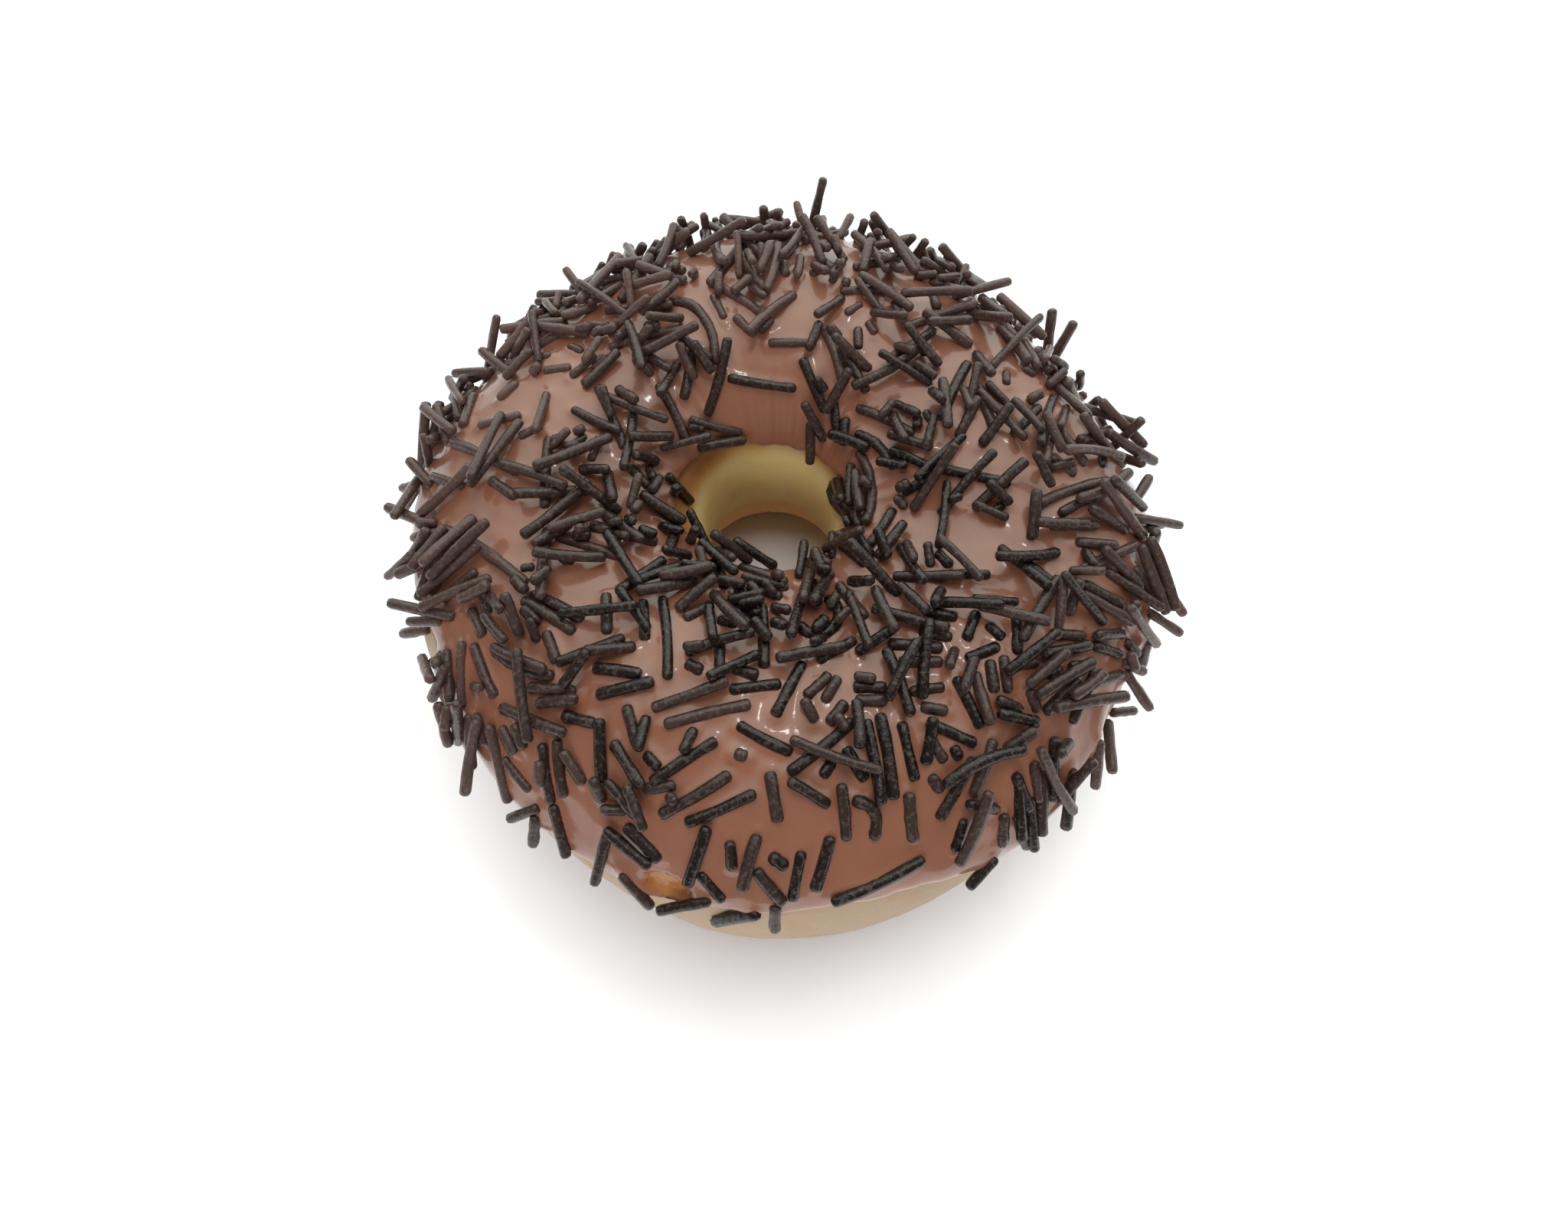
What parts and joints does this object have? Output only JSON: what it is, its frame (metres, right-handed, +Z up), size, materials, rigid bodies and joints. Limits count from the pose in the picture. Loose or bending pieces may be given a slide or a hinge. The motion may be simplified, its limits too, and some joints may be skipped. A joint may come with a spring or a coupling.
{
  "type": "chocolate doughnut",
  "caption": "Ring doughnut with a flat underside, milk chocolate icing over its top and sides, and dark chocolate sprinkles set into the icing.",
  "frame": {"origin": "middle of the ring, on the surface that the doughnut stands on", "axes": "+Z up through the hole, -Y towards the side that the picture shows nearest, +X to its right"},
  "size_m": [0.0911, 0.0923, 0.0374],
  "materials": {
    "dough": "matte fried dough crust",
    "icing": "glossy milk chocolate icing"
  },
  "bodies": {
    "root": {"dough_ring": "dough", "icing": "icing"}
  },
  "joints": []
}
